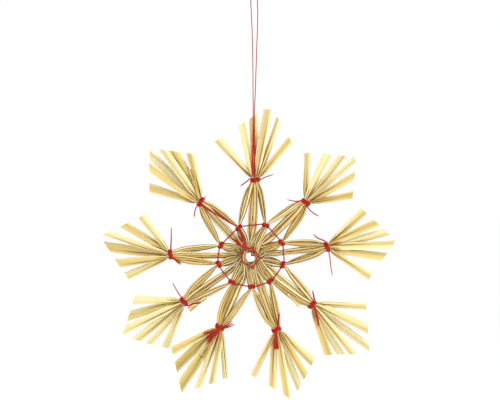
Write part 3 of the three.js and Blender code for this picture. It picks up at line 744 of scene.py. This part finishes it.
def straw_skin(edges, looks, dice, ties):
    """A straw's surface: pleated, with painted shade in the pleats, where it is squeezed, and open towards
    its cut ends.
    """
    left, right, thickness = edges
    at = along_line((left + right) / 2)
    wanted = np.linspace(0, at[-1], int(at[-1] / STRAW_ROW) + 1)
    share = wanted / at[-1]
    lines = [monotone(at, edge, wanted) for edge in (left, right)]
    thick = monotone(at, thickness[:, None], wanted)[:, 0]
    middle = (lines[0] + lines[1]) / 2
    sideways = unit(lines[0] - lines[1])
    far_side = ease((share - CHANGE_START) / CHANGE_LENGTH)
    from_middle = np.hypot(middle[:, 0] - STAR_CENTRE.x, middle[:, 2] - STAR_CENTRE.z)
    from_tie = np.minimum(np.abs(wanted - at[ties[0]]), np.abs(wanted - at[ties[1]]))
    loose = blend(looks[0]["loose"], looks[1]["loose"], far_side) * swell(from_middle, *LOOSE_GAIN_REACH)
    centre, width = settled(lines, sideways, from_middle, from_tie, loose)
    ahead = unit(np.gradient(centre, axis=0))
    front = unit(FORWARD - ahead * (ahead @ FORWARD)[:, None])

    # How far each row is from its tie towards its cut end, how hard it is squeezed, and if it is in the hub.
    blade_share = [np.clip((at[ties[0]] - wanted) / at[ties[0]], 0, 1),
                   np.clip((wanted - at[ties[1]]) / (at[-1] - at[ties[1]]), 0, 1)]
    in_blade = ease((blade_share[0] + blade_share[1]) * BLADE_START)
    squeeze = np.clip(1 - width / OPEN_WIDTH, 0, 1)
    pressed = ease((squeeze - PRESSED_FROM) / PRESSED_OVER) * looks[0]["squeeze"]
    in_hub = 1 - ease((from_middle - HUB_REACH[0]) / (HUB_REACH[1] - HUB_REACH[0]))
    cup = sum(look["cup"] * part ** 1.2 for look, part in zip(looks, blade_share))
    cup = cup + SPINDLE_CUP * (1 - in_blade) * (1 - in_hub) * ease(width / SPINDLE_WIDTH - 0.5)
    roll = sum(look["roll"] * ease(part) for look, part in zip(looks, blade_share))
    roll = (roll + in_hub * dice.uniform(-HUB_ROLL, HUB_ROLL))[:, None]
    opening = sum(ease(1 - np.abs(end - wanted) / MOUTH_LENGTH) * look["mouth"]
                  for look, end in zip(looks, (0, at[-1])))
    half_width = width / 2
    half_thick = thick / 2 + opening / 2

    round_it = np.linspace(0, math.tau, STRAW_COLUMNS + 1)
    across = np.cos(round_it)[None, :]
    face = np.sin(round_it)[None, :]
    lift = np.sign(face) * np.abs(face) ** blend(*FULLNESS, squeeze)[:, None]
    pleats, crease_shade = pleats_of(across, share, pressed, in_hub, dice)
    lift = (lift + pleats) * half_thick[:, None]
    # The painted crease shade drifts from brown to rust along the straw.
    rusty = np.clip(0.35 + wave(dice, 0.5, 5)(share), 0, 1) * blend(1, 0.5, in_hub)
    rust = np.repeat(rusty[:, None], STRAW_COLUMNS + 1, axis=1)
    # Each fold adds a painted shade line and a real groove.
    for fold_rust, fold_shade, deep in folds_of(looks, across, blade_share, far_side):
        rust = blend(rust, fold_rust, np.clip(fold_shade * 2, 0, 1))
        crease_shade = crease_shade + fold_shade
        lift -= deep
    ridge = sum(dice.uniform(0.3, 1) * np.sin(turn * math.pi * across + dice.uniform(0, 6)
                                              + wave(dice, 0.8)(share)[:, None]) for turn in RIDGE_TURNS)
    lift += ridge * RIDGE_HEIGHT + cup[:, None] * (1 / 3 - across ** 2)
    spread = across * half_width[:, None]

    flat = spread * np.cos(roll) - lift * np.sin(roll)
    tall = spread * np.sin(roll) + lift * np.cos(roll)
    places = (centre[:, None, :] + flat[:, :, None] * sideways[:, None, :]
              + tall[:, :, None] * front[:, None, :])
    places[:, -1] = places[:, 0]
    values = {
        "tint": tint_of(looks, across[0], far_side, pressed, in_hub),
        "crease_shade": np.minimum(crease_shade, 1),
        "rust": rust,
        # The edge value is a painted highlight on the straw's rounded edges, fading where it is squeezed.
        "edge": np.abs(across) ** 2.5 * (1 - pressed)[:, None],
    }
    return with_mouths(places, values, wanted, half_width, half_thick)


def with_mouths(places, values, wanted, half_width, half_thick):
    """Adds the inside of the two open ends: rows that turn over the rim and go a little way down it."""
    def inner(row):
        middle = places[row].mean(axis=0)
        slim = 1 - WALL / half_width[row]
        thin = max(0.15, 1 - WALL / half_thick[row])
        away = places[row] - middle
        depth = away[:, 1:2] * np.array([0.0, 1.0, 0.0])
        return middle + (away - depth) * slim + depth * thin

    last = len(places) - 1
    starts = MOUTH_ROWS[::-1]
    ends = [last - row for row in MOUTH_ROWS]
    whole = np.concatenate([[inner(row) for row in starts], places, [inner(row) for row in ends]])
    order = starts + list(range(last + 1)) + ends
    length = np.concatenate([-wanted[starts], wanted, 2 * wanted[-1] - wanted[ends]])
    carried = {label: value[order] for label, value in values.items()}
    return whole, carried, length


def end_look(listed, turnwise, dice, loose=0):
    """How one end of a straw looks. Turnwise is 1 if its left edge is the anticlockwise one, else -1."""
    clockwise, anticlockwise, fold, depth, reach, rust = listed
    return {
        "tints": (TINTS[clockwise], TINTS[anticlockwise]),
        "fold_place": fold,
        "fold": fold * turnwise,
        "depth": depth,
        "reach": reach,
        "rust": rust,
        "loose": loose,
        "cup": dice.uniform(*CUPS),
        "roll": dice.uniform(-BLADE_ROLL, BLADE_ROLL),
        "mouth": dice.uniform(0.3, 1) * MOUTH_OPENING,
        "squeeze": 1,
    }


def blade_look(arm, slot, turnwise, dice):
    loose = LOOSE_GAINS[arm] * MM if slot in (2, 3) else 0
    return end_look(BLADES[ARMS[arm]][slot], turnwise, dice, loose)


half_straws = {}


def pressed_straw(number):
    """One straw of the star, from its blade in one arm over the hub to its blade in another."""
    band, member = divmod(number - 1, 3)
    far = (band + FAR_ARM) % len(ARMS)
    node = f"straw_{number:02d}"
    edges = straw_edges(node, FIRST_ARM + ARM_STEP * band)
    for line in edges[:2]:
        line[0] += unit(line[0] - line[1]) * TIP_GAIN
        line[-1] += unit(line[-1] - line[-2]) * TIP_GAIN
    half_straws[band, member] = edges
    half_straws[far, 5 - member] = tuple(part[::-1] for part in edges)
    dice = random.Random(100 + number)
    looks = [blade_look(band, member, -1, dice), blade_look(far, 5 - member, 1, dice)]
    last = len(edges[0]) - 1
    places, values, length = straw_skin(edges, looks, dice, (TIE_SECTION, last - TIE_SECTION))
    across = np.linspace(0, STRAW_ROUND, places.shape[1])
    grid = lay(places, across, length, values)
    finish_piece([grid], f"pressed_{node}", STRAW, node)


for straw_number in range(1, STRAWS + 1):
    pressed_straw(straw_number)

# The broken blades: the tints of their edges and their fold as in BLADES, then how much wider they spread and
# how far their ends gape.
SPLINTERS = {
    "upper_left": (("ochre", "gold", -0.6, 1.0, 1.0, 0.35), 1.0, 0),
    "lower_left": (("cream", "silver", 0.5, 0.3, 1.0, 0.7), 1.0, 0),
    "bottom_left": (("olive", "olive", 0.2, 0.8, 1.0, 0.1), 1.45, 0.9 * MM),
    "lower_right": (("cream", "cream", 0.3, 0.3, 1.0, 0.4), 0.8, 0),
}
SPLINTER_STATIONS = 6
SPLINTER_SQUEEZE = 0.5
SPLINTER_CUP = 0.1 * MM


def splinter(arm_name, look, wider, gape, number):
    node = f"splinter_{arm_name}"
    left, right, thickness = straw_edges(node, FIRST_ARM + ARM_STEP * ARMS.index(arm_name))
    spread = (left - right) * (wider - 1) / 2
    at = along_line((left + right) / 2)
    steps = np.linspace(0, at[-1], SPLINTER_STATIONS)
    edges = [monotone(at, part, steps) for part in (left + spread, right - spread, thickness[:, None])]
    edges[2] = edges[2][:, 0]
    look = end_look(look, -1, random.Random(300 + number))
    look |= {"cup": SPLINTER_CUP, "roll": 0, "mouth": gape, "squeeze": SPLINTER_SQUEEZE}
    places, values, length = straw_skin(edges, [look, look], random.Random(350 + number), (2, 3))
    across = np.linspace(0, STRAW_ROUND / 2, places.shape[1])
    grid = lay(places, across, length, values)
    finish_piece([grid], f"broken_{node}", STRAW, node)


for splinter_number, (splinter_arm, splinter_shape) in enumerate(SPLINTERS.items()):
    splinter(splinter_arm, *splinter_shape, splinter_number)

# --- Ties and knots ---

# How each arm's tie, and the knot after each arm, slant in degrees.
TIE_SLANTS = [-3, -5, 0, 3.5, 12.5, 7, 15, -9, -2]
KNOT_SLANTS = [-8, 16, -3.5, 3, 8, 9, 15, -6, 4.5]

# Each tie's cut tails: how many strands, how far they fan out at the end, the radius at each end, and the
# points they run through, sideways and upwards from the tie's middle. All in millimetres.
TIE_TAILS = {
    "top": [
        (1, 0, 0.38, 0.36, [(-2.5, 0.8), (-5.1, -1.2), (-7.7, -3.0)]),
        (1, 0, 0.36, 0.28, [(2.9, 0.3), (5.9, 1.7), (9.2, 2.8)])],
    "upper_left": [
        (1, 0, 0.4, 0.32, [(-1.8, -2.0), (-2.6, -3.6), (-3.1, -5.2), (-3.4, -7.8)]),
        (1, 0, 0.5, 0.45, [(0.9, 1.0), (1.7, 1.8), (2.4, 2.5)])],
    "left": [
        (1, 0, 0.5, 0.26, [(0.1, 2.3), (0.3, 4.5), (0.5, 9.0), (0.5, 14.1)]),
        (2, 0.3, 0.42, 0.36, [(0.7, -1.7), (2.5, -2.65), (3.9, -3.85), (5.3, -4.9)])],
    "lower_left": [
        (1, 0, 0.36, 0.27, [(-1.2, 2.0), (-3.5, 5.7), (-5.7, 9.4)]),
        (1, 0, 0.52, 0.52, [(1.0, -1.5), (2.3, -2.2), (4.9, -1.2), (9.1, -0.6)])],
    "bottom_left": [
        (3, 1.5, 0.46, 0.32, [(1.1, -0.4), (3.2, 0.25), (4.8, 0.9), (6.7, 2.2)]),
        (2, 0.7, 0.34, 0.42, [(-0.9, -1.3), (-3.5, -2.4), (-6.7, -3.0), (-8.5, -3.7)]),
        (3, 1.5, 0.42, 0.4, [(-0.6, -1.9), (-2.5, -3.7), (-4.8, -5.6), (-6.9, -7.5)])],
    "bottom_right": [
        (1, 0, 0.5, 0.5, [(0.9, 1.2), (1.1, 4.5), (1.4, 8.3)]),
        (3, 1.3, 0.4, 0.5, [(-0.3, -0.9), (-0.2, -3.8), (0, -10.5)])],
    "lower_right": [
        (1, 0, 0.66, 0.4, [(1.3, 1.4), (0.95, 3.8), (0.55, 6.15), (0.25, 7.3)]),
        (1, 0, 0.62, 0.56, [(1.1, -0.6), (1.75, -2.9), (2.9, -7.6), (3.5, -11.2)])],
    "right": [
        (1, 0, 0.45, 0.36, [(0.1, 2.1), (-1.9, 3.6), (-4.6, 4.7), (-7.1, 6.5)]),
        (1, 0, 0.34, 0.26, [(0.8, -2.5), (1.5, -6.1), (1.9, -10.2), (2.7, -14.9)])],
    "upper_right": [
        (1, 0, 0.55, 0.22, [(-1.5, 1.0), (-3.5, 0.6), (-5.1, 0.45), (-7.5, 0.75), (-9.6, 1.2)]),
        (1, 0, 0.36, 0.34, [(0.8, -2.2), (1.8, -3.9), (3.6, -5.6), (5.3, -6.8), (6.5, -7.3)])],
}
TAIL_LIFT = 1.6 * THREAD_RADIUS
TAIL_HEIGHT = 0.7
TIE_KNOT = (1.15 * MM, 0.75 * MM)
TIE_KNOT_TURN = 20
RING_KNOT = (1.1 * MM, 0.75 * MM)
RING_KNOT_TURN = 30
KNOT_STEPS = 120
KNOT_LIFT = 2.4 * THREAD_RADIUS
KNOT_RISE = 0.3 * MM
KNOT_FRONT = 2.6 * THREAD_RADIUS
WRAP_TURNS = 3
WRAP_STEPS = 40
WRAP_SQUARENESS = 0.55
WRAP_SNUG = 0.9 * THREAD_RADIUS
WRAP_PITCH = 1.9 * THREAD_RADIUS


def middle_of(slot, section):
    """The middle of a half straw at one of its sections."""
    left, right, _ = half_straws[slot]
    return (left[section] + right[section]) / 2


def bundle(slots, section):
    """The box round some half straws, from a section to the next: its middle, directions and half sizes."""
    corners = []
    for slot in slots:
        left, right, thickness = half_straws[slot]
        for place in (section, section + 1):
            for edge in (left[place], right[place]):
                corners.append(edge + FORWARD * thickness[place] / 2)
                corners.append(edge - FORWARD * thickness[place] / 2)
    outer = np.mean([middle_of(slot, section) for slot in slots], axis=0)
    inner = np.mean([middle_of(slot, section + 1) for slot in slots], axis=0)
    outward = unit((outer - inner) * np.array([1, 0, 1]))
    sideways = np.array([-outward[2], 0, outward[0]])
    middle = (outer + inner) / 2
    lateral = (np.array(corners) - middle) @ sideways
    depth = np.array(corners)[:, 1]
    middle = middle + sideways * (lateral.max() + lateral.min()) / 2
    middle[1] = (depth.max() + depth.min()) / 2
    return {"middle": middle, "outward": outward, "sideways": sideways,
            "half_width": (lateral.max() - lateral.min()) / 2, "half_depth": (depth.max() - depth.min()) / 2}


def front_of(held, lift):
    """The point this far in front of the middle of a bundle's face."""
    return held["middle"] + FORWARD * (held["half_depth"] + lift)


def squared(part):
    """A sine or cosine that makes a round turn squarer."""
    return np.sign(part) * np.abs(part) ** WRAP_SQUARENESS


def wrap_line(held, slant):
    """The line of a thread wound side by side round a bundle, starting and ending at its front."""
    angle = np.linspace(-math.pi / 2, -math.pi / 2 + math.tau * WRAP_TURNS, WRAP_STEPS * WRAP_TURNS + 1)
    across = (held["half_width"] + WRAP_SNUG) * squared(np.cos(angle))
    depth = (held["half_depth"] + WRAP_SNUG) * squared(np.sin(angle))
    along = WRAP_PITCH * ((angle + math.pi / 2) / math.tau - WRAP_TURNS / 2)
    along = along + across * math.tan(math.radians(slant))
    line = (held["middle"] + across[:, None] * held["sideways"] + along[:, None] * held["outward"]
            - depth[:, None] * FORWARD)
    return evenly(line, THREAD_STEP)


def knot_line(held, size, turned):
    """A small overhand knot on the front of a bundle."""
    angle = np.linspace(0, math.tau, KNOT_STEPS)
    across = (np.sin(angle) + 2 * np.sin(2 * angle)) / 3
    along = (np.cos(angle) - 2 * np.cos(2 * angle)) / 3
    rise = -np.sin(3 * angle)
    start = front_of(held, KNOT_LIFT)
    lean = math.radians(turned)
    side = held["sideways"] * math.cos(lean) + held["outward"] * math.sin(lean)
    out = held["outward"] * math.cos(lean) - held["sideways"] * math.sin(lean)
    line = (start + across[:, None] * side * size[0] + along[:, None] * out * size[1]
            + rise[:, None] * FORWARD * KNOT_RISE)
    return evenly(line, THREAD_STEP)


def cut_tail(held, tail, dice):
    """The strands of one cut tail, from the tie outwards in front of the straws."""
    strands, fan, start_radius, end_radius, points = tail
    start = front_of(held, TAIL_LIFT)
    route = np.array([start + np.array([side, 0, rise]) * MM for side, rise in points])
    route[1:] += FORWARD * TAIL_HEIGHT * MM
    route = np.concatenate([[blend(start, route[0], 0.3)], route])
    ahead = unit(route[-1] - route[-2])
    beside = np.array([-ahead[2], 0, ahead[0]])
    away = along_line(route) / along_line(route)[-1]
    grids = []
    for number in range(strands):
        place = number - (strands - 1) / 2
        offsets = start_radius * 0.8 * place * MM + fan * MM * place / max(strands - 1, 1) * away ** 1.5
        bowed = route + beside * offsets[:, None] + FORWARD * dice.uniform(0, 0.2) * MM
        line = flowing(bowed, THREAD_STEP)
        taper = blend(start_radius, end_radius, np.linspace(0, 1, len(line)))
        grids.append(thread_grid(line, radius=MM, taper=taper))
        grids += frayed_end(line, dice)
    return grids


def cotton_tie(arm):
    name = ARMS[arm]
    held = bundle([(arm, slot) for slot in range(6)], TIE_SECTION)
    dice = random.Random(500 + arm)
    slant = TIE_SLANTS[arm]
    grids = [thread_grid(wrap_line(held, slant)),
             thread_grid(knot_line(held, TIE_KNOT, slant + TIE_KNOT_TURN))]
    for tail in TIE_TAILS[name]:
        grids += cut_tail(held, tail, dice)
    finish_piece(grids, f"cotton_tie_{name}", COTTON, f"tie_{name}")
    return held


tie_bundles = [cotton_tie(arm) for arm in range(len(ARMS))]
knot_bundles = []
for arm_number in range(len(ARMS)):
    after = (arm_number + 1) % len(ARMS)
    knot_slots = [(arm_number, 4), (arm_number, 5), (after, 0), (after, 1)]
    knot_bundles.append(bundle(knot_slots, KNOT_SECTION))


def middle_front(arm):
    """Where the ring thread crosses an arm's two middle straws."""
    fronts = []
    for slot in ((arm, 2), (arm, 3)):
        fronts.append(middle_of(slot, KNOT_SECTION)[1] - half_straws[slot][2][KNOT_SECTION] / 2)
    return min(fronts)


def knot_end(number, side):
    """Where the ring thread leaves a knot, at the end that faces the next knot on that side."""
    held = knot_bundles[number % len(knot_bundles)]
    reach = side * (held["half_width"] + 0.4 * THREAD_RADIUS)
    rise = reach * math.tan(math.radians(KNOT_SLANTS[number % len(knot_bundles)]))
    depth = held["half_depth"] + 1.2 * THREAD_RADIUS
    return held["middle"] + held["sideways"] * reach + held["outward"] * rise + FORWARD * depth


# The doubled thread's way over the hub to the first knot: direction, distance from the middle and height.
HUB_STRAND = [(115, 5.3, 2.8), (113, 10.5, 2.5)]
TIE_END = np.array([-0.2, 0, -1.4]) * MM
CROSSING_LIFT = 1.1 * THREAD_RADIUS


def cotton_ring():
    """The thread that runs from knot to knot round the hub, and its doubled ends."""
    grids = []
    for number, held in enumerate(knot_bundles):
        dice = random.Random(700 + number)
        turned = dice.uniform(-RING_KNOT_TURN, RING_KNOT_TURN)
        grids.append(thread_grid(wrap_line(held, KNOT_SLANTS[number])))
        grids.append(thread_grid(knot_line(held, RING_KNOT, turned)))
        start, end = knot_end(number, 1), knot_end(number + 1, -1)
        crossing = (start + end) / 2
        crossing[1] = min(crossing[1], middle_front((number + 1) % len(ARMS)) - CROSSING_LIFT)
        grids.append(strand([start, crossing, end]))
    over_hub = [raised(*place) for place in HUB_STRAND]
    first_knot = front_of(knot_bundles[0], KNOT_FRONT)
    tie = front_of(tie_bundles[1], KNOT_FRONT) + TIE_END
    for side in (-1, 1):
        across = np.array([1, 0, 0.4]) * side * THREAD_RADIUS
        grids.append(strand([place + across for place in over_hub] + [first_knot]))
        beside = np.array([0.7, 0, 0.7]) * side * DOUBLED_RADIUS
        halfway = (first_knot + tie) / 2 + beside + FORWARD * 0.2 * MM
        grids.append(strand([first_knot, halfway, tie + beside], radius=DOUBLED_RADIUS))
    finish_piece(grids, "cotton_ring", COTTON, "ring_thread")


cotton_ring()

# The hexagon's corners, by direction and distance from the middle, and how far the back one is turned.
CENTRE_HEXAGON = [(117, 4.5), (77, 5.1), (349, 5.3), (279, 6.2), (213, 5.5), (153, 5.6)]
CENTRE_DEPTH = 2.5 * MM
BACK_TURN = 30
SIDE_BOW = 0.12 * MM
CORNER_TURN = 1.2 * MM
CORNER_RADIUS = 1.4 * THREAD_RADIUS

# The strand through the hole, from the middle, and the tails' way, with how far apart they lie, in radii.
HOLE_STRAND = [(0.9, -2.5, 2.8), (0.6, -1.75, 1.2), (0.6, 0, 0.6), (1.1, 1.75, 0.6), (2.8, 2.5, 0.6)]
CENTRE_TAILS = [(130, 7.5, 2.9, 0.5), (132, 10.2, 2.8, 1.5), (132, 12.2, 2.6, 1.5)]


def hexagon_corner(number, depth, turned=0):
    bearing, radius = CENTRE_HEXAGON[number]
    return polar(bearing + turned, radius * MM) + np.array([0, depth, 0])


def cotton_centre():
    """The thread that binds the hub: a hexagon on the front and the back, a strand between them and tails."""
    grids = []
    for depth, turned in ((-CENTRE_DEPTH, 0), (CENTRE_DEPTH, BACK_TURN)):
        corners = [hexagon_corner(number, depth, turned) for number in range(len(CENTRE_HEXAGON))]
        bow = np.array([0, math.copysign(SIDE_BOW, depth), 0])
        inwards = np.array([0, -math.copysign(CORNER_TURN, depth), 0])
        for first, second in zip(corners, corners[1:] + corners[:1]):
            reach = unit(second - first) * THREAD_RADIUS * 0.6
            grids.append(strand([first - reach, (first + second) / 2 - bow, second + reach]))
            grids.append(strand([first - inwards * 0.2, first, first + inwards], radius=CORNER_RADIUS))
    middle = np.array(STAR_CENTRE)
    through = [hexagon_corner(1, -CENTRE_DEPTH)] + [middle + np.array(step) * MM for step in HOLE_STRAND]
    through.append(hexagon_corner(2, CENTRE_DEPTH, BACK_TURN))
    grids.append(strand(through))
    dice = random.Random(900)
    start = hexagon_corner(0, -CENTRE_DEPTH - 0.2 * MM)
    for side in (-1, 0, 1):
        beside = np.array([0.7, 0, 0.7]) * side * THREAD_RADIUS
        route = [raised(*place) + beside * apart for *place, apart in CENTRE_TAILS]
        line = flowing([start] + route, THREAD_STEP)
        grids.append(thread_grid(line))
        grids += frayed_end(line, dice)
    finish_piece(grids, "cotton_centre", COTTON, "centre_thread")


cotton_centre()

# --- Studio ---

FLOOR_HEIGHT = -0.36
FLOOR_SIZE = 60
FLOOR_GREY = (0.86, 0.86, 0.85, 1)
WHITE = (1, 1, 1, 1)
SKY_LIGHT = 0.22


def studio_floor():
    bpy.ops.mesh.primitive_plane_add(size=FLOOR_SIZE, location=(0, 0, FLOOR_HEIGHT))
    floor = bpy.context.object
    floor.name = "studio_floor"
    material, tree, shader = new_material("studio_white")
    set_inputs(tree, shader, {
        "Base Color": FLOOR_GREY, "Roughness": 0.9, "Emission Color": WHITE, "Emission Strength": 0.8})
    floor.data.materials.append(material)


def studio_world():
    """White all round for the eye, and a softer white for lighting the star."""
    world = bpy.data.worlds.new("studio_world")
    world.use_nodes = True
    bpy.context.scene.world = world
    tree = world.node_tree
    seen = shader_node(tree, "ShaderNodeLightPath").outputs["Is Camera Ray"]
    strength = ramp(tree, seen, (0.0, SKY_LIGHT), (1.0, 1.0))
    set_inputs(tree, tree.nodes["Background"], {"Color": WHITE, "Strength": strength})


def softbox(name, place, size, power):
    """A square lamp that faces the star."""
    bpy.ops.object.light_add(type="AREA", location=place)
    light = bpy.context.object
    light.name = name
    light.data.shape = "SQUARE"
    light.data.size = size
    light.data.energy = power
    aim = Vector((STAR_CENTRE.x, 0, STAR_CENTRE.z)) - Vector(place)
    light.rotation_euler = aim.to_track_quat("-Z", "Y").to_euler()


studio_floor()
studio_world()
softbox("softbox_key", place=(0.52, -0.62, 0.78), size=0.5, power=11)
softbox("softbox_left", place=(-0.9, -0.1, 0.05), size=0.8, power=3.5)
softbox("softbox_right", place=(0.9, -0.1, 0.05), size=0.8, power=4)
bpy.context.scene.view_settings.view_transform = "Standard"
